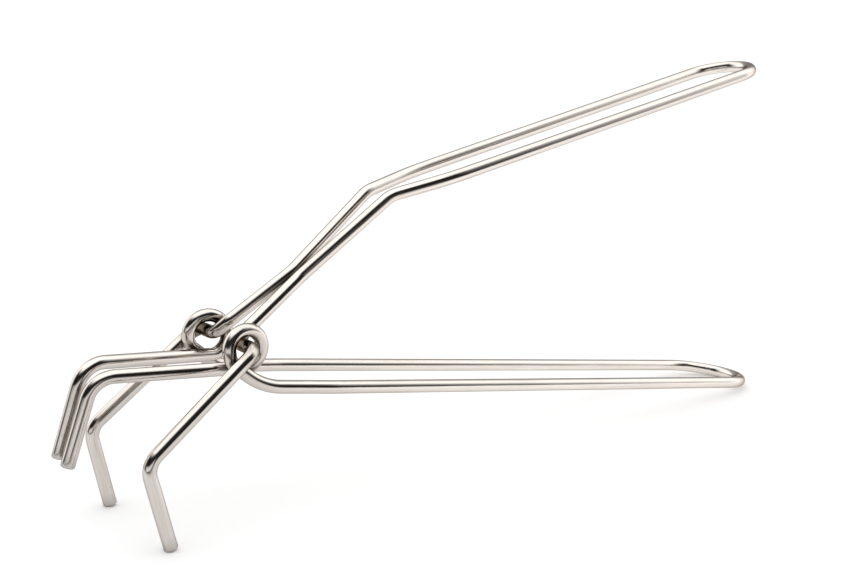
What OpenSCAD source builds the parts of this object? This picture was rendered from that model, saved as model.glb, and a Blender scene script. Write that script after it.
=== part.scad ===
// Jar lifter: canning tongs bent from two lengths of round plated wire, millimetres.
// It stands on the two spread tips and on the closed end of the lower handle (Z = 0).
// X runs from the jaws to the handle ends, Y across the tool, Z up. The points below are
// measured from the pivot, and mid_x moves the finished tool so that X = 0 is its middle.
// The lower wire makes one full eye on each side; the upper wire runs through both eyes
// along Y and turns in them, so the two wires scissor without a rivet.

/* [Wire] */
// Diameter of the round wire of both pieces
wire_d = 4; // [3.6:0.1:4.2]
// Chamfer of the four cut ends
cut_chamfer = 0.4; // [0.2:0.1:0.8]

/* [Pivot eyes] */
// Radius of the wire's centre line round each eye
eye_r = 5.7; // [5.5:0.1:6]
// Height of the eye centres above the table
eye_z = 49.1; // [47:0.1:52]
// Distance of the outer turn of each eye from the middle plane
eye_y = 14.1; // [13.8:0.1:14.8]
// Side step of the wire over one full turn
eye_step = 4.4; // [4.3:0.1:4.8]
// How far the upper wire lies above the eye centres
pin_rise = 1.1; // [0.6:0.1:1.2]

/* [Lower handle] */
// X of the closed end, to the wire's centre line
lower_end_x = 206.6; // [170:1:240]
// Half of the handle's width at the closed end
lower_half_w = 15.5; // [14:0.1:18]
// Half of the handle's width where it leaves the eyes
lower_root_half_w = 16; // [15.6:0.1:17]

/* [Upper handle] */
// X of the closed end, to the wire's centre line
upper_end_x = 210.8; // [180:1:240]
// Height of the closed end
upper_end_z = 116.7; // [105:0.1:130]
// Half of the handle's width at the closed end
upper_half_w = 12.1; // [10:0.1:14]
// X of the bend where the grip starts
crank_x = 54; // [50:0.1:62]
// Height of that bend
crank_z = 86.7; // [82:0.1:92]
// Half of the width between the two wires at that bend
crank_half_w = 6.7; // [6:0.1:8.5]
// Half of the width between the two wires where the shank leaves the eyes
shank_root_half_w = 5; // [4.8:0.1:5.2]
// How much higher the far wire of the shank was bent than the near one
far_shank_rise = 1.2; // [0:0.1:1.4]

/* [Close-set jaw] */
// X of the corner of the close-set jaw
inner_corner_x = -41.7; // [-46:0.1:-38]
// Height of that corner
inner_corner_z = 46.6; // [45:0.1:49]
// Half of the distance between the two close-set arms at the corner
inner_half_w = 3.2; // [2.8:0.1:4]
// X of the close-set tips
inner_tip_x = -51; // [-54:0.1:-46]
// Height of the close-set tips
inner_tip_z = 23.1; // [18:0.1:28]
// How much higher the far arm was bent than the near one
far_arm_rise = 2.7; // [0:0.1:3]
// How much higher its tip ends
far_tip_rise = 0.8; // [0:0.1:3]
// Half of the distance between the close-set tips
inner_tip_half_w = 3.4; // [2.8:0.1:4]

/* [Spread jaw] */
// X of the corner of the spread jaw
outer_corner_x = -35.2; // [-38:0.1:-32]
// Height of that corner
outer_corner_z = 24.8; // [23:0.1:28]
// Half of the distance between the spread tips
outer_tip_half_w = 21.6; // [20:0.1:24]
// X of the spread tips
outer_tip_x = -30.4; // [-33:0.1:-28]

/* [Hidden] */
$fn = 48;
r = wire_d / 2;
plated = [0.80, 0.80, 0.81];
// middle of the tool's length, from the pivot
mid_x = (upper_end_x + inner_tip_x + 0.3) / 2;
pin_z = eye_z + pin_rise;
touch = r + 0.08;
hair = 0.015;
lap = 0.06;

function unit(v) = v / norm(v);
function turn(a, b, c) = acos(max(-1, min(1, unit(b - a) * unit(c - b))));
// how much of each side a bend of radius q uses
function used(a, b, c, q) = q * tan(turn(a, b, c) / 2);
function flip(p) = [p[0], -p[1], p[2]];

// a matrix that takes X, Y, Z to the three given directions and then moves to o
function frame(x, y, z, o) = [
    [x[0], y[0], z[0], o[0]],
    [x[1], y[1], z[1], o[1]],
    [x[2], y[2], z[2], o[2]],
    [0, 0, 0, 1]];
function across(w) = unit(cross(w, abs(w[2]) < 0.9 ? [0, 0, 1] : [1, 0, 0]));

// the straights are a hair thinner than the bends and reach a little way into them
module straight(a, b) {
    w = unit(b - a);
    u = across(w);
    multmatrix(frame(u, cross(w, u), w, a - w * lap)) cylinder(h = norm(b - a) + 2 * lap, r = r - hair);
}

// a straight end, cut square and lightly chamfered at b
module cut_end(a, b) {
    w = unit(b - a);
    u = across(w);
    l = norm(b - a) + lap;
    multmatrix(frame(u, cross(w, u), w, a - w * lap)) rotate_extrude()
        polygon([[0, 0], [r - hair, 0], [r - hair, l - cut_chamfer], [r - hair - cut_chamfer, l], [0, l]]);
}

module bend(a, b, c, q) {
    u = unit(b - a);
    v = unit(c - b);
    n = unit(v - (u * v) * u);
    o = b - u * used(a, b, c, q) + n * q;
    multmatrix(frame(-n, u, cross(-n, u), o))
        rotate_extrude(angle = turn(a, b, c)) translate([q, 0]) circle(r = r);
}

// a wire along the points p, with the bend radius q[i] at p[i], open at both ends
module wire(p, q) {
    n = len(p);
    t = [for (i = [0 : n - 1]) i == 0 || i == n - 1 ? 0 : used(p[i - 1], p[i], p[i + 1], q[i])];
    for (i = [0 : n - 2]) {
        w = unit(p[i + 1] - p[i]);
        a = p[i] + w * t[i];
        b = p[i + 1] - w * t[i + 1];
        if (i == 0) cut_end(b, a);
        else if (i == n - 2) cut_end(a, b);
        else straight(a, b);
    }
    for (i = [1 : n - 2]) bend(p[i - 1], p[i], p[i + 1], q[i]);
}

// where the lower handle starts to rise into the eye
rise_x = 3.5;
rise_z = 2 + (lower_end_x - rise_x) * (eye_z - 2) / (lower_end_x + 57.5);
// the turn of the eye starts and ends where the two straights touch its circle
function tangent(x, z, s) = let(dx = x, dz = z - eye_z)
    atan2(dz, dx) + s * acos(eye_r / norm([dx, dz]));
turns = 7;
function eye(s, k, y0, z1) =
    let(f0 = tangent(rise_x, rise_z, -1), f1 = tangent(inner_corner_x, z1, 1),
        sweep = 360 - (f1 + (f1 < 0 ? 360 : 0) - (f0 + 360)), st = sweep / turns,
        f = f0 - (k + 0.5) * st, q = eye_r / cos(st / 2))
    [q * cos(f), s * (y0 - eye_step * (k + 0.5) / turns), eye_z + q * sin(f)];

// one side of the lower wire, from the tip to the closed end of the handle
function lower_side(s, rise, tip_rise) = concat(
    [[inner_tip_x, s * inner_tip_half_w, inner_tip_z + tip_rise],
     [inner_corner_x, s * inner_half_w, inner_corner_z + rise]],
    [for (k = [turns - 1 : -1 : 0]) eye(s, k, eye_y, inner_corner_z + rise)],
    [[rise_x, s * (eye_y + 0.6), rise_z],
     [rise_x + 22, s * lower_root_half_w, rise_z - 22 * (rise_z - 2) / (lower_end_x - rise_x)],
     [lower_end_x, s * lower_half_w, r]]);
lower_radii = concat([0, 8], [for (k = [1 : turns]) eye_r * 0.94], [20, 60, lower_half_w - 0.6]);

function turned(v) = [for (i = [len(v) - 1 : -1 : 0]) v[i]];

module lower_handle_wire() {
    color(plated) translate([-mid_x, 0, 0]) wire(
        concat(lower_side(-1, 0, 0), turned(lower_side(1, far_arm_rise, far_tip_rise))),
        concat(lower_radii, turned(lower_radii)));
}

// height of the spread tips' centres, so that their lowest edge is on the table
tip_lean = atan2(outer_tip_x - outer_corner_x, outer_corner_z);
outer_tip_z = (r - cut_chamfer) * abs(sin(tip_lean)) + 0.02;

// one side of the upper wire, from the tip to the closed end of the handle
function upper_side(s, rise) = [
    [outer_tip_x, s * outer_tip_half_w, outer_tip_z],
    [outer_corner_x, s * (outer_tip_half_w - 1.1), outer_corner_z],
    [0, s * (eye_y + 2 * r + 0.6), pin_z],
    [0, s * (eye_y - eye_step - 2.1), pin_z],
    [3.5, s * shank_root_half_w, pin_z + 2.2 + rise],
    [23.8, s * touch, pin_z + 14.8 + rise],
    [crank_x, s * crank_half_w, crank_z],
    [crank_x + 18.8, s * (upper_half_w - 1.3), crank_z + 18.8 * (upper_end_z - crank_z) / (upper_end_x - crank_x)],
    [upper_end_x, s * upper_half_w, upper_end_z]];
upper_radii = [0, 6, 4, 4, 4.5, 12, 9, 60, upper_half_w - 0.4];

module upper_handle_wire() {
    color(plated) translate([-mid_x, 0, 0]) wire(
        concat(upper_side(-1, 0), turned(upper_side(1, far_shank_rise))),
        concat(upper_radii, turned(upper_radii)));
}

lower_handle_wire();
upper_handle_wire();
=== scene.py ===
import math

import bpy
import numpy as np
from mathutils import Matrix, Vector


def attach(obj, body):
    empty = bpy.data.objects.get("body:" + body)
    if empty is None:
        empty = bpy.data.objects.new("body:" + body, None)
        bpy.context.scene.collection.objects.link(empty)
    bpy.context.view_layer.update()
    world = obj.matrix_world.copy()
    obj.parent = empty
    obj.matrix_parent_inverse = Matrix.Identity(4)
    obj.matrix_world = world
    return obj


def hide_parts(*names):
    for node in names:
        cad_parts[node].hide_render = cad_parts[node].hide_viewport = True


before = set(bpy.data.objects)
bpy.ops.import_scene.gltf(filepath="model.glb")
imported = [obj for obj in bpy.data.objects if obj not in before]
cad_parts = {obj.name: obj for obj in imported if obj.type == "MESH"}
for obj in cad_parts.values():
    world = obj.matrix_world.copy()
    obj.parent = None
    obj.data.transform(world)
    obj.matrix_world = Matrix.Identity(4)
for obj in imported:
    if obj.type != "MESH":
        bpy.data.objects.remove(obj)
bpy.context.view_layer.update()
scene = bpy.context.scene

# ---------------------------------------------------------------- routes
# The same control points and bend radii as the two wires of the part, in millimetres
# from the pivot. MID is the middle of the tool's length, which the frame puts at X = 0.
WIRE_R = 2.0
EYE_R, EYE_Z, EYE_Y, EYE_STEP, TURNS = 5.7, 49.1, 14.1, 4.4, 7
PIN_Z = EYE_Z + 1.1
TOUCH = WIRE_R + 0.08
LOWER_END_X, LOWER_HALF_W, LOWER_ROOT_HALF_W = 206.6, 15.5, 16.0
UPPER_END_X, UPPER_END_Z, UPPER_HALF_W = 210.8, 116.7, 12.1
CRANK_X, CRANK_Z, CRANK_HALF_W = 54.0, 86.7, 6.7
SHANK_ROOT_HALF_W, FAR_SHANK_RISE = 5.0, 1.2
INNER_CORNER_X, INNER_CORNER_Z, INNER_HALF_W = -41.7, 46.6, 3.2
INNER_TIP_X, INNER_TIP_Z, INNER_TIP_HALF_W = -51.0, 23.1, 3.4
FAR_ARM_RISE, FAR_TIP_RISE = 2.7, 0.8
OUTER_CORNER_X, OUTER_CORNER_Z = -35.2, 24.8
OUTER_TIP_X, OUTER_TIP_HALF_W = -30.4, 21.6
CHAMFER = 0.4
RISE_X = 3.5
RISE_Z = 2 + (LOWER_END_X - RISE_X) * (EYE_Z - 2) / (LOWER_END_X + 57.5)
MID = (UPPER_END_X + INNER_TIP_X + 0.3) / 2


def unit(v):
    v = np.asarray(v, float)
    return v / np.linalg.norm(v)


def angle_at(a, b, c):
    return math.acos(max(-1.0, min(1.0, float(unit(b - a) @ unit(c - b)))))


def tangent(x, z, s):
    dx, dz = x, z - EYE_Z
    return math.atan2(dz, dx) + s * math.acos(EYE_R / math.hypot(dx, dz))


def eye(s, k, z1):
    f0 = tangent(RISE_X, RISE_Z, -1)
    f1 = tangent(INNER_CORNER_X, z1, 1)
    sweep = 2 * math.pi - ((f1 + (2 * math.pi if f1 < 0 else 0)) - (f0 + 2 * math.pi))
    st = sweep / TURNS
    f, q = f0 - (k + 0.5) * st, EYE_R / math.cos(st / 2)
    return [q * math.cos(f), s * (EYE_Y - EYE_STEP * (k + 0.5) / TURNS), EYE_Z + q * math.sin(f)]


def lower_side(s, rise, tip_rise):
    pts = [
        [INNER_TIP_X, s * INNER_TIP_HALF_W, INNER_TIP_Z + tip_rise],
        [INNER_CORNER_X, s * INNER_HALF_W, INNER_CORNER_Z + rise],
    ]
    pts += [eye(s, k, INNER_CORNER_Z + rise) for k in range(TURNS - 1, -1, -1)]
    pts += [
        [RISE_X, s * (EYE_Y + 0.6), RISE_Z],
        [RISE_X + 22, s * LOWER_ROOT_HALF_W, RISE_Z - 22 * (RISE_Z - 2) / (LOWER_END_X - RISE_X)],
        [LOWER_END_X, s * LOWER_HALF_W, WIRE_R],
    ]
    return pts


def upper_side(s, rise):
    lean = math.atan2(OUTER_TIP_X - OUTER_CORNER_X, OUTER_CORNER_Z)
    tip_z = (WIRE_R - CHAMFER) * abs(math.sin(lean)) + 0.02
    slope = (UPPER_END_Z - CRANK_Z) / (UPPER_END_X - CRANK_X)
    return [
        [OUTER_TIP_X, s * OUTER_TIP_HALF_W, tip_z],
        [OUTER_CORNER_X, s * (OUTER_TIP_HALF_W - 1.1), OUTER_CORNER_Z],
        [0, s * (EYE_Y + 2 * WIRE_R + 0.6), PIN_Z],
        [0, s * (EYE_Y - EYE_STEP - 2.1), PIN_Z],
        [3.5, s * SHANK_ROOT_HALF_W, PIN_Z + 2.2 + rise],
        [23.8, s * TOUCH, PIN_Z + 14.8 + rise],
        [CRANK_X, s * CRANK_HALF_W, CRANK_Z],
        [CRANK_X + 18.8, s * (UPPER_HALF_W - 1.3), CRANK_Z + 18.8 * slope],
        [UPPER_END_X, s * UPPER_HALF_W, UPPER_END_Z],
    ]


LOWER_RADII = [0, 8] + [EYE_R * 0.94] * TURNS + [20, 60, LOWER_HALF_W - 0.6]
UPPER_RADII = [0, 6, 4, 4, 4.5, 12, 9, 60, UPPER_HALF_W - 0.4]
lower_pts = np.array(lower_side(-1, 0, 0) + lower_side(1, FAR_ARM_RISE, FAR_TIP_RISE)[::-1], float)
upper_pts = np.array(upper_side(-1, 0) + upper_side(1, FAR_SHANK_RISE)[::-1], float)
lower_radii = LOWER_RADII + LOWER_RADII[::-1]
upper_radii = UPPER_RADII + UPPER_RADII[::-1]


def centre_line(p, q, straight_step=2.0, arc_step=math.radians(3.0)):
    """Points, tangents and curvature vectors (1/mm) along the filleted control polygon."""
    n = len(p)
    used = [0.0] * n
    for i in range(1, n - 1):
        used[i] = q[i] * math.tan(angle_at(p[i - 1], p[i], p[i + 1]) / 2)
    pos, tan, cur = [], [], []

    def put(x, t, k):
        if pos and np.linalg.norm(pos[-1] - x) < 1e-4:
            return
        pos.append(x)
        tan.append(t)
        cur.append(k)

    for i in range(n - 1):
        u = unit(p[i + 1] - p[i])
        a, b = p[i] + u * used[i], p[i + 1] - u * used[i + 1]
        length = np.linalg.norm(b - a)
        m = max(1, int(math.ceil(length / straight_step)))
        for j in range(m + 1):
            put(a + (b - a) * j / m, u, np.zeros(3))
        if i + 1 < n - 1:
            v = unit(p[i + 2] - p[i + 1])
            turn = angle_at(p[i], p[i + 1], p[i + 2])
            if turn < 1e-6:
                continue
            nn = unit(v - (u @ v) * u)
            o = b + nn * q[i + 1]
            m = max(3, int(math.ceil(turn / arc_step)))
            for j in range(1, m):
                f = turn * j / m
                c = -nn * math.cos(f) + u * math.sin(f)
                put(o + c * q[i + 1], unit(nn * math.sin(f) + u * math.cos(f)), -c / q[i + 1])
    return np.array(pos), np.array(tan), np.array(cur)


def smooth_bump(x, a, b, soft):
    """1 between a and b, falling to 0 over soft."""
    def st(t):
        t = min(1.0, max(0.0, t))
        return t * t * (3 - 2 * t)
    return st((x - (a - soft)) / soft) * st(((b + soft) - x) / soft)


def sweep(name, p, q, sides=56):
    """A swept round wire with chamfered, slightly domed cut ends and a UV layer:
    U goes once round the wire and V is the length in metres."""
    pos, tan, cur = centre_line(p, q)
    s = np.concatenate([[0], np.cumsum(np.linalg.norm(np.diff(pos, axis=0), axis=1))])
    # rotation minimising frames
    ref = unit(np.cross(tan[0], [0.3, 0.9, 0.1]))
    normals = [ref]
    for i in range(1, len(pos)):
        v1 = pos[i] - pos[i - 1]
        c1 = v1 @ v1
        rl = normals[-1] - (2 / c1) * (v1 @ normals[-1]) * v1
        tl = tan[i - 1] - (2 / c1) * (v1 @ tan[i - 1]) * v1
        v2 = tan[i] - tl
        c2 = v2 @ v2
        r = rl if c2 < 1e-12 else rl - (2 / c2) * (v2 @ rl) * v2
        normals.append(unit(r - (r @ tan[i]) * tan[i]))
    # cross-sections: a bent wire flattens a little across its bend and swells sideways
    k = cur.copy()
    for _ in range(4):
        k[1:-1] = (k[:-2] + 2 * k[1:-1] + k[2:]) / 4
    rings, vees = [], []
    total = s[-1]

    def ring(c, t, nrm, r, kv, along):
        b = np.cross(t, nrm)
        kk = np.linalg.norm(kv)
        e = kv / kk if kk > 1e-6 else nrm
        flat = min(0.035, 0.16 * kk)
        out = []
        for j in range(sides):
            f = 2 * math.pi * j / sides
            d = nrm * math.cos(f) + b * math.sin(f)
            x = d * r
            x = x - e * (x @ e) * flat + (x - e * (x @ e)) * flat * 0.35
            out.append(c + x)
        rings.append(out)
        vees.append(along)

    t0, t1 = tan[0], tan[-1]
    for d, rr in ((-0.03, 0.35), (-0.015, 0.9), (0.0, WIRE_R - CHAMFER - 0.05), (0.03, WIRE_R - CHAMFER + 0.03)):
        ring(pos[0] + t0 * max(0.0, d + 0.03) * 1.0, t0, normals[0], rr, np.zeros(3), 0.0)
    ring(pos[0] + t0 * (CHAMFER - 0.06), t0, normals[0], WIRE_R - 0.07, np.zeros(3), CHAMFER)
    ring(pos[0] + t0 * (CHAMFER + 0.08), t0, normals[0], WIRE_R, np.zeros(3), CHAMFER + 0.1)
    keep = [i for i in range(len(pos)) if 1.0 < s[i] < total - 1.0]
    for i in keep:
        ring(pos[i], tan[i], normals[i], WIRE_R, k[i], s[i])
    ring(pos[-1] - t1 * (CHAMFER + 0.08), t1, normals[-1], WIRE_R, np.zeros(3), total - CHAMFER - 0.1)
    ring(pos[-1] - t1 * (CHAMFER - 0.06), t1, normals[-1], WIRE_R - 0.07, np.zeros(3), total - CHAMFER)
    for d, rr in ((0.03, WIRE_R - CHAMFER + 0.03), (0.0, WIRE_R - CHAMFER - 0.05), (-0.015, 0.9), (-0.03, 0.35)):
        ring(pos[-1] - t1 * max(0.0, d + 0.03), t1, normals[-1], rr, np.zeros(3), total)
    n = len(rings)
    verts = [tuple((np.array(v) - [MID, 0, 0]) / 1000.0) for r in rings for v in r]
    faces, uvs, cut = [], [], []
    for i in range(n - 1):
        for j in range(sides):
            a, b = i * sides + j, i * sides + (j + 1) % sides
            faces.append((a, b, b + sides, a + sides))
            u0, u1 = j / sides, (j + 1) / sides
            uvs.append([(u0, vees[i] / 1000), (u1, vees[i] / 1000), (u1, vees[i + 1] / 1000), (u0, vees[i + 1] / 1000)])
            cut.append(i < 4 or i >= n - 5)
    for first, flip in ((0, True), ((n - 1) * sides, False)):
        loop = [first + j for j in range(sides)]
        cc = len(verts)
        centre = np.mean([verts[v] for v in loop], axis=0)
        verts.append(tuple(centre))
        for j in range(sides):
            a, b = loop[j], loop[(j + 1) % sides]
            faces.append((b, a, cc) if flip else (a, b, cc))
            v = 0.0 if flip else total / 1000
            uvs.append([((j + 1) / sides, v), (j / sides, v), ((j + 0.5) / sides, v)] if flip
                       else [(j / sides, v), ((j + 1) / sides, v), ((j + 0.5) / sides, v)])
            cut.append(True)
    me = bpy.data.meshes.new(name)
    me.from_pydata(verts, [], faces)
    uv = me.uv_layers.new(name="wire")
    li = 0
    for f in uvs:
        for c in f:
            uv.data[li].uv = c
            li += 1
    for poly, c in zip(me.polygons, cut):
        poly.use_smooth = True
        poly.material_index = 1 if c else 0
    me.set_sharp_from_angle(angle=math.radians(32))
    me.update()
    ob = bpy.data.objects.new(name, me)
    scene.collection.objects.link(ob)
    return ob, s, pos


lower, lower_s, lower_line = sweep("lower_wire_bent", lower_pts, lower_radii)
upper, upper_s, upper_line = sweep("upper_wire_bent", upper_pts, upper_radii)


def even(line, step=0.6):
    d = np.concatenate([[0], np.cumsum(np.linalg.norm(np.diff(line, axis=0), axis=1))])
    t = np.arange(0, d[-1], step)
    return np.stack([np.interp(t, d, line[:, i]) for i in range(3)], 1)


def occlusion_shade(ob, lines, step=0.6, reach=9.0):
    """A point attribute: how much wire stands close in front of each point of the surface, as at the inside of an eye
    or between two wires. It drives painted shade: the plating is painted near black there, as occlusion darkening."""
    me = ob.data
    n = len(me.vertices)
    co, no = np.empty(n * 3), np.empty(n * 3)
    me.vertices.foreach_get("co", co)
    me.vertices.foreach_get("normal", no)
    co = co.reshape(-1, 3) * 1000 + [MID, 0, 0]
    no = no.reshape(-1, 3)
    pts = np.concatenate([even(l, step) for l in lines])
    out = np.zeros(n)
    for i in range(0, n, 2000):
        w = pts[None] - co[i:i + 2000, None]
        d = np.linalg.norm(w, axis=2)
        c = np.clip(np.einsum("ijk,ik->ij", w, no[i:i + 2000]) / d, 0, None)
        g = np.where(d < reach, (1 - d / reach), 0)
        out[i:i + 2000] = (g * c * step * 2 * WIRE_R / np.maximum(d, WIRE_R) ** 2).sum(axis=1) / math.pi
    att = me.attributes.new("painted_occlusion", "FLOAT", "POINT")
    att.data.foreach_set("value", np.clip(out, 0, 1).astype(np.float32))


# painted shade: an occlusion measure stored on each wire
for ob in (lower, upper):
    occlusion_shade(ob, (lower_line, upper_line))


# ---------------------------------------------------------------- materials
class Nodes:
    def __init__(self, name):
        self.mat = bpy.data.materials.new(name)
        self.mat.use_nodes = True
        self.nt = self.mat.node_tree
        self.nt.nodes.clear()
        self.out = self.nt.nodes.new("ShaderNodeOutputMaterial")
        self.bsdf = self.nt.nodes.new("ShaderNodeBsdfPrincipled")
        self.nt.links.new(self.bsdf.outputs[0], self.out.inputs[0])

    def new(self, kind, **kw):
        n = self.nt.nodes.new(kind)
        for k, v in kw.items():
            setattr(n, k, v)
        return n

    def link(self, a, b):
        self.nt.links.new(a, b)

    def math(self, op, a, b=None, c=None, clamp=False):
        n = self.new("ShaderNodeMath", operation=op, use_clamp=clamp)
        for i, v in enumerate((a, b, c)):
            if v is None:
                continue
            if isinstance(v, (int, float)):
                n.inputs[i].default_value = v
            else:
                self.link(v, n.inputs[i])
        return n.outputs[0]

    def combine(self, x, y, z):
        n = self.new("ShaderNodeCombineXYZ")
        for i, v in enumerate((x, y, z)):
            if isinstance(v, (int, float)):
                n.inputs[i].default_value = v
            else:
                self.link(v, n.inputs[i])
        return n.outputs[0]

    def noise(self, vec, scale=1.0, detail=2.0, rough=0.5, dist=0.0):
        n = self.new("ShaderNodeTexNoise")
        n.inputs["Scale"].default_value = scale
        n.inputs["Detail"].default_value = detail
        n.inputs["Roughness"].default_value = rough
        n.inputs["Distortion"].default_value = dist
        self.link(vec, n.inputs["Vector"])
        return n.outputs["Fac"]

    def ramp(self, fac, stops, interp="LINEAR"):
        n = self.new("ShaderNodeValToRGB")
        n.color_ramp.interpolation = interp
        el = n.color_ramp.elements
        while len(el) < len(stops):
            el.new(0.5)
        for e, (p, c) in zip(el, stops):
            e.position = p
            e.color = tuple(c) + ((1.0,) if len(c) == 3 else ())
        self.link(fac, n.inputs[0])
        return n.outputs[0]

    def mix(self, fac, a, b, blend="MIX"):
        n = self.new("ShaderNodeMix", data_type="RGBA", blend_type=blend)
        for i, v in ((0, fac), (6, a), (7, b)):
            if isinstance(v, (int, float)):
                n.inputs[i].default_value = v
            elif isinstance(v, tuple):
                n.inputs[i].default_value = v + ((1.0,) if len(v) == 3 else ())
            else:
                self.link(v, n.inputs[i])
        return n.outputs[2]


def plated(name, eyes, seed, length, wear_and_shade, cut=False):
    """Bright plating over drawn wire of a length in metres. eyes are the stretches, as V positions in metres, where the
    two wires are rubbing."""
    m = Nodes(name)
    uv = m.new("ShaderNodeUVMap", uv_map="wire").outputs[0]
    sep = m.new("ShaderNodeSeparateXYZ")
    m.link(uv, sep.inputs[0])
    a = m.math("MULTIPLY", sep.outputs[0], 2 * math.pi)
    cx, cy = m.math("COSINE", a), m.math("SINE", a)
    v = sep.outputs[1]
    # P runs on the unrolled wire, in millimetres, with no seam
    px, py = m.math("MULTIPLY", cx, 2.0), m.math("MULTIPLY", cy, 2.0)
    vz = m.math("MULTIPLY_ADD", v, 1000.0, seed * 137.0)

    def mapped(around, along):
        return m.combine(m.math("MULTIPLY", px, around), m.math("MULTIPLY", py, around), m.math("MULTIPLY", vz, along))

    streak = m.noise(mapped(3.2, 0.035), detail=4.0, rough=0.62)
    fine = m.noise(mapped(9.0, 0.10), detail=3.0, rough=0.6)
    cloud = m.noise(mapped(0.55, 0.055), detail=3.0, rough=0.5, dist=0.4)
    patch = m.noise(mapped(0.9, 0.22), detail=4.0, rough=0.6)
    pits = m.new("ShaderNodeTexVoronoi", feature="F1")
    pits.inputs["Scale"].default_value = 1.0
    m.link(mapped(2.4, 2.4), pits.inputs["Vector"])
    pit = m.ramp(pits.outputs["Distance"], [(0.0, (1, 1, 1)), (0.07, (0.7, 0.7, 0.7)), (0.12, (0, 0, 0))])
    rare = m.ramp(m.noise(mapped(1.1, 0.9), detail=1.0), [(0.56, (0, 0, 0)), (0.66, (1, 1, 1))])
    pit = m.math("MULTIPLY", pit, rare)

    # rubbing at the pivot: duller and a little browner, partly real wear and partly painted shade; on the upper wire
    # its larger amount paints the bend into the pivot dark, a painted reflection of the dark room
    rub_and_shade = None
    for c, half in eyes:
        d = m.math("ABSOLUTE", m.math("SUBTRACT", v, c))
        w = m.math("SUBTRACT", 1.0, m.math("DIVIDE", d, half), clamp=True)
        rub_and_shade = w if rub_and_shade is None else m.math("MAXIMUM", rub_and_shade, w)
    rub_and_shade = m.math("MULTIPLY", m.math("POWER", rub_and_shade, 0.6), m.ramp(patch, [(0.35, (0.25, 0.25, 0.25)), (0.62, (1, 1, 1))]), clamp=True)

    # painted shade where other wire stands close, and a darker, greyer, rougher band over the last few millimetres of
    # each wire
    near = m.new("ShaderNodeAttribute", attribute_name="painted_occlusion").outputs["Fac"]
    near = m.math("MULTIPLY_ADD", m.math("SUBTRACT", patch, 0.5), 0.25, near)
    near = m.ramp(near, [(0.07, (0, 0, 0)), (0.22, (0.7, 0.7, 0.7)), (0.42, (1, 1, 1))])
    # darker, greyer and rougher over the last few millimetres of each wire
    end = m.math("MINIMUM", v, m.math("SUBTRACT", length, v))
    end = m.math("MULTIPLY_ADD", m.math("SUBTRACT", patch, 0.5), 0.004, end)
    end = m.ramp(m.math("MULTIPLY", end, 100.0), [(0.05, (1, 1, 1)), (0.26, (0.55, 0.55, 0.55)), (0.42, (0, 0, 0))])

    base = m.mix(m.ramp(cloud, [(0.3, (0, 0, 0)), (0.7, (1, 1, 1))]), (0.66, 0.617, 0.58), (0.59, 0.545, 0.505))
    base = m.mix(m.math("MULTIPLY", m.ramp(streak, [(0.42, (0, 0, 0)), (0.72, (1, 1, 1))]), 0.55), base, (0.47, 0.425, 0.385))
    # partly wear, partly painted shade: dark brown at the pivot stretches
    base = m.mix(m.math("MULTIPLY", rub_and_shade, wear_and_shade), base, (0.15, 0.122, 0.09))
    base = m.mix(m.math("MULTIPLY", end, 0.6), base, (0.40, 0.385, 0.37))
    # painted shade: near black where other wire stands close
    base = m.mix(m.math("MULTIPLY", near, 0.85), base, (0.075, 0.06, 0.045))
    base = m.mix(m.math("MULTIPLY", pit, 0.7), base, (0.30, 0.27, 0.24))
    if cut:
        base = m.mix(0.6, base, (0.36, 0.335, 0.31))
    m.link(base, m.bsdf.inputs["Base Color"])
    m.bsdf.inputs["Metallic"].default_value = 1.0
    m.bsdf.inputs["IOR"].default_value = 2.0
    m.bsdf.inputs["Specular Tint"].default_value = (0.40, 0.37, 0.345, 1.0)
    r = m.math("MULTIPLY_ADD", streak, 0.09, 0.04 if not cut else 0.30)
    r = m.math("MULTIPLY_ADD", cloud, 0.06, r)
    r = m.math("MULTIPLY_ADD", rub_and_shade, 0.04, r)
    r = m.math("MULTIPLY_ADD", end, 0.12, r)
    r = m.math("MULTIPLY_ADD", pit, 0.3, r, clamp=True)
    m.link(r, m.bsdf.inputs["Roughness"])
    h = m.math("MULTIPLY_ADD", fine, 0.35, m.math("MULTIPLY", streak, 0.9))
    h = m.math("MULTIPLY_ADD", patch, 0.5, h)
    h = m.math("MULTIPLY_ADD", pit, -0.6, h)
    bump = m.new("ShaderNodeBump")
    bump.inputs["Strength"].default_value = 0.5 if not cut else 1.0
    bump.inputs["Distance"].default_value = 0.00003 if not cut else 0.0001
    m.link(h, bump.inputs["Height"])
    m.link(bump.outputs[0], m.bsdf.inputs["Normal"])
    return m.mat


def eye_spans(line, s, centre, reach):
    """V centres and half lengths of the stretches of a wire near the pivot axis."""
    near = np.hypot(line[:, 0] - centre[0], line[:, 2] - centre[1]) < reach
    spans, start = [], None
    for i, f in enumerate(near):
        if f and start is None:
            start = i
        if start is not None and (not f or i == len(near) - 1):
            a, b = s[start] / 1000, s[i] / 1000
            spans.append(((a + b) / 2, (b - a) / 2 + 0.004))
            start = None
    return spans


lower_eyes = eye_spans(lower_line, lower_s, (0, EYE_Z), EYE_R + 1.0)
upper_eyes = eye_spans(upper_line, upper_s, (0, PIN_Z), 3.0)
for ob, eyes, seed, total, wear_and_shade in ((lower, lower_eyes, 1, float(lower_s[-1]) / 1000, 0.12), (upper, upper_eyes, 2, float(upper_s[-1]) / 1000, 0.9)):
    ob.data.materials.append(plated("plated_wire_%d" % seed, eyes, seed, total, wear_and_shade))
    ob.data.materials.append(plated("cut_end_%d" % seed, eyes, seed, total, wear_and_shade, cut=True))

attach(lower, "lower_wire")
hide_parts("lower_handle_wire")
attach(upper, "upper_wire")
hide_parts("upper_handle_wire")
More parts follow.
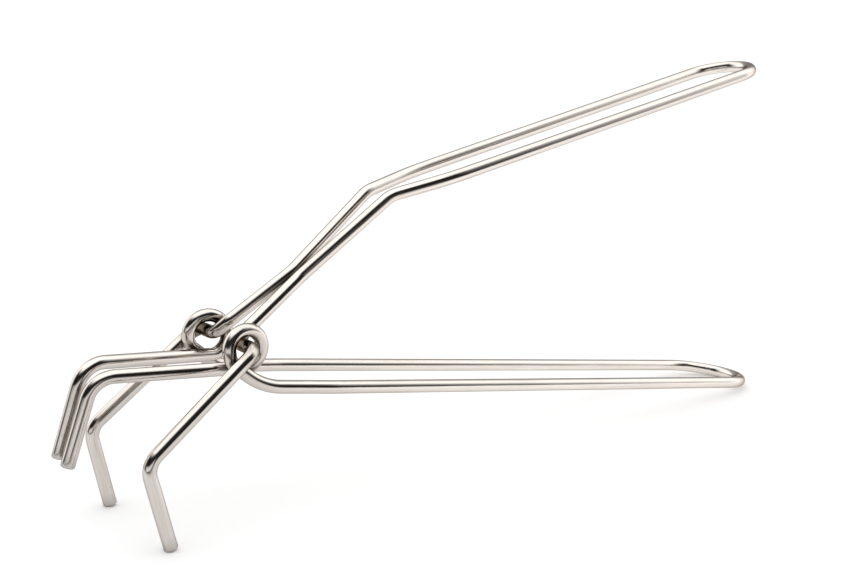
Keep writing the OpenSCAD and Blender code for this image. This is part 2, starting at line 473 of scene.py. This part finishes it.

# ---------------------------------------------------------------- floor
# A pale sweep. In reflections only, its colour is painted near black towards the front: a painted dark reflection
# standing in for the dark room past the front edge of the table.
size = 40.0
me = bpy.data.meshes.new("floor")
me.from_pydata([(-size, -size, 0), (size, -size, 0), (size, size, 0), (-size, size, 0)], [], [(0, 1, 2, 3)])
floor = bpy.data.objects.new("floor", me)
scene.collection.objects.link(floor)
fm = Nodes("pale_floor")
tc = fm.new("ShaderNodeTexCoord").outputs["Object"]
soft = fm.noise(tc, scale=3.0, detail=2.0)
pale = fm.mix(soft, (0.955, 0.955, 0.957), (0.965, 0.965, 0.965))
fdot = fm.new("ShaderNodeVectorMath", operation="DOT_PRODUCT")
fm.link(tc, fdot.inputs[0])
fdot.inputs[1].default_value = (-math.sin(math.radians(20)), -math.cos(math.radians(20)), 0.0)
fedge = fm.new("ShaderNodeMapRange", interpolation_type="SMOOTHSTEP", clamp=True)
fm.link(fdot.outputs["Value"], fedge.inputs["Value"])
fedge.inputs["From Min"].default_value = 0.08
fedge.inputs["From Max"].default_value = 0.38
flp = fm.new("ShaderNodeLightPath")
# painted dark reflection: for glossy rays the floor is painted near black towards the front
far_front = fm.math("MULTIPLY", fm.math("MULTIPLY", fedge.outputs["Result"], 0.93), flp.outputs["Is Glossy Ray"])
fm.link(fm.mix(far_front, pale, (0.02, 0.018, 0.016)), fm.bsdf.inputs["Base Color"])
# painted light: for glossy rays the floor glows a little brighter on the right, a painted pool of light as under the
# side lamp
fx = fm.new("ShaderNodeSeparateXYZ")
fm.link(tc, fx.inputs[0])
fside = fm.new("ShaderNodeMapRange", interpolation_type="SMOOTHSTEP", clamp=True)
fm.link(fx.outputs[0], fside.inputs["Value"])
fside.inputs["From Min"].default_value = -0.09
fside.inputs["From Max"].default_value = 0.05
fglow = fm.math("MULTIPLY", fm.math("SUBTRACT", flp.outputs["Is Glossy Ray"], far_front), fm.math("MULTIPLY", fside.outputs["Result"], 0.40))
fm.bsdf.inputs["Emission Color"].default_value = (1.0, 0.99, 0.97, 1.0)
fm.link(fglow, fm.bsdf.inputs["Emission Strength"])
fm.bsdf.inputs["Roughness"].default_value = 0.85
fm.bsdf.inputs["Specular IOR Level"].default_value = 0.1
floor.data.materials.append(fm.mat)

# ---------------------------------------------------------------- studio: a white tent, open to a dark room at the front
world = bpy.data.worlds.new("studio")
scene.world = world
world.use_nodes = True
wt = world.node_tree
wt.nodes.clear()


def wnew(kind, **kw):
    n = wt.nodes.new(kind)
    for k, v in kw.items():
        setattr(n, k, v)
    return n


def wmath(op, a, b=None, c=None, clamp=False):
    n = wnew("ShaderNodeMath", operation=op, use_clamp=clamp)
    for i, v in enumerate((a, b, c)):
        if v is None:
            continue
        if isinstance(v, (int, float)):
            n.inputs[i].default_value = v
        else:
            wt.links.new(v, n.inputs[i])
    return n.outputs[0]


def wstep(v, a, b):
    """0 at a, 1 at b, smooth between; a may be above b."""
    n = wnew("ShaderNodeMapRange", interpolation_type="SMOOTHSTEP", clamp=True)
    wt.links.new(v, n.inputs["Value"])
    n.inputs["From Min"].default_value = a
    n.inputs["From Max"].default_value = b
    return n.outputs["Result"]


OPEN_RIGHT, OPEN_TOP, OPEN_LEFT = (66.0, 96.0), (36.0, 62.0), (-108.0, -150.0)
LAMP, BACKDROP = 1.85, 0.62
wsep = wnew("ShaderNodeSeparateXYZ")
wt.links.new(wnew("ShaderNodeTexCoord").outputs["Generated"], wsep.inputs[0])
DEG = 180 / math.pi
# az 0 is -Y and positive towards +X, el is above the floor, both in degrees
az = wmath("MULTIPLY", wmath("ARCTAN2", wsep.outputs[0], wmath("MULTIPLY", wsep.outputs[1], -1.0)), DEG)
el = wmath("MULTIPLY", wmath("ARCSINE", wsep.outputs[2]), DEG)

# the opening: its right edge leans over, and its top and left edges are soft
lean_az = wmath("MULTIPLY_ADD", wmath("MAXIMUM", wmath("SUBTRACT", el, 10.0), 0.0), 0.8, az)
right = wstep(lean_az, OPEN_RIGHT[0], OPEN_RIGHT[1])
right = wmath("MULTIPLY", right, right)
top = wstep(el, OPEN_TOP[0], OPEN_TOP[1])
top = wmath("MULTIPLY", top, top)
left = wstep(az, OPEN_LEFT[0], OPEN_LEFT[1])
# a low pale card stands along the front left edge of the table
card = wmath("MULTIPLY", wmath("MULTIPLY", wstep(el, 18.0, 9.0), wstep(az, -108.0, -84.0)), wstep(az, 2.0, -14.0))
light = wmath("MAXIMUM", wmath("MAXIMUM", right, top), left)
light = wmath("MAXIMUM", light, wmath("MULTIPLY", card, 0.55))
# the backdrop is no brighter than the floor, and the side and top panels are the lamps
back = wmath("MULTIPLY", wstep(wmath("ABSOLUTE", wmath("SUBTRACT", az, 146.0)), 60.0, 22.0), wstep(el, 58.0, 30.0))
panel = wmath("SUBTRACT", LAMP, wmath("MULTIPLY", back, LAMP - BACKDROP))
level = wmath("ADD", wmath("MULTIPLY", light, panel), 0.012)
glossy = wnew("ShaderNodeLightPath").outputs["Is Glossy Ray"]
bg_plain = wnew("ShaderNodeBackground")
bg_plain.inputs["Color"].default_value = (1.0, 1.0, 1.0, 1.0)
bg_plain.inputs["Strength"].default_value = 1.17
bg_gloss = wnew("ShaderNodeBackground")
bg_gloss.inputs["Color"].default_value = (1.0, 1.0, 0.995, 1.0)
wt.links.new(level, bg_gloss.inputs["Strength"])
mixw = wnew("ShaderNodeMixShader")
wt.links.new(glossy, mixw.inputs[0])
wt.links.new(bg_plain.outputs[0], mixw.inputs[1])
wt.links.new(bg_gloss.outputs[0], mixw.inputs[2])
wo = wnew("ShaderNodeOutputWorld")
wt.links.new(mixw.outputs[0], wo.inputs[0])

# the side lamp: a tall panel to the right of the opening, seen only in reflections
PANEL = ((0.22, -0.45), (1.0, 0.18), 1.2)
me = bpy.data.meshes.new("side_lamp")
(ax, ay), (bx, by), ph = PANEL
me.from_pydata([(ax, ay, 0), (bx, by, 0), (bx, by, ph), (ax, ay, ph)], [], [(0, 1, 2, 3)])
lamp = bpy.data.objects.new("side_lamp", me)
scene.collection.objects.link(lamp)
pm = Nodes("side_lamp")
psep = pm.new("ShaderNodeSeparateXYZ")
pm.link(pm.new("ShaderNodeTexCoord").outputs["Object"], psep.inputs[0])
px_ = pm.math("MULTIPLY_ADD", pm.math("SUBTRACT", psep.outputs[2], 0.1), 0.2, psep.outputs[0])
pe = pm.new("ShaderNodeMapRange", interpolation_type="SMOOTHSTEP", clamp=True)
pm.link(px_, pe.inputs["Value"])
pe.inputs["From Min"].default_value = 0.235
pe.inputs["From Max"].default_value = 0.56
plev = pm.math("MULTIPLY_ADD", pm.math("POWER", pe.outputs["Result"], 1.2), LAMP, 0.045)
pem = pm.new("ShaderNodeEmission")
pem.inputs["Color"].default_value = (1.0, 1.0, 0.995, 1.0)
pm.link(plev, pem.inputs["Strength"])
pm.nt.nodes.remove(pm.bsdf)
pm.link(pem.outputs[0], pm.out.inputs[0])
lamp.data.materials.append(pm.mat)
for flag in ("visible_camera", "visible_diffuse", "visible_transmission", "visible_volume_scatter", "visible_shadow"):
    setattr(lamp, flag, False)

# ---------------------------------------------------------------- camera
F_PX = 1373.37
R0 = Vector((0.82243, -0.568186, -0.027799)).normalized()
R1 = Vector((-0.139561, -0.154154, -0.978141))
R1 = (R1 - R0 * R0.dot(R1)).normalized()
R2 = R0.cross(R1)
cam_data = bpy.data.cameras.new("camera")
cam = bpy.data.objects.new("camera", cam_data)
scene.collection.objects.link(cam)
cam_data.sensor_width = 36.0
cam_data.lens = F_PX * 36.0 / 850.0
cam_data.clip_start, cam_data.clip_end = 0.01, 100.0
right_v, up_v, back_v = R0, -R1, -R2
m3 = Matrix((right_v, up_v, back_v)).transposed()
cam.matrix_world = Matrix.Translation(Vector(((-169.149 - MID) / 1000, -0.350627, 0.145819))) @ m3.to_4x4()
scene.camera = cam
scene.view_settings.view_transform = "Standard"
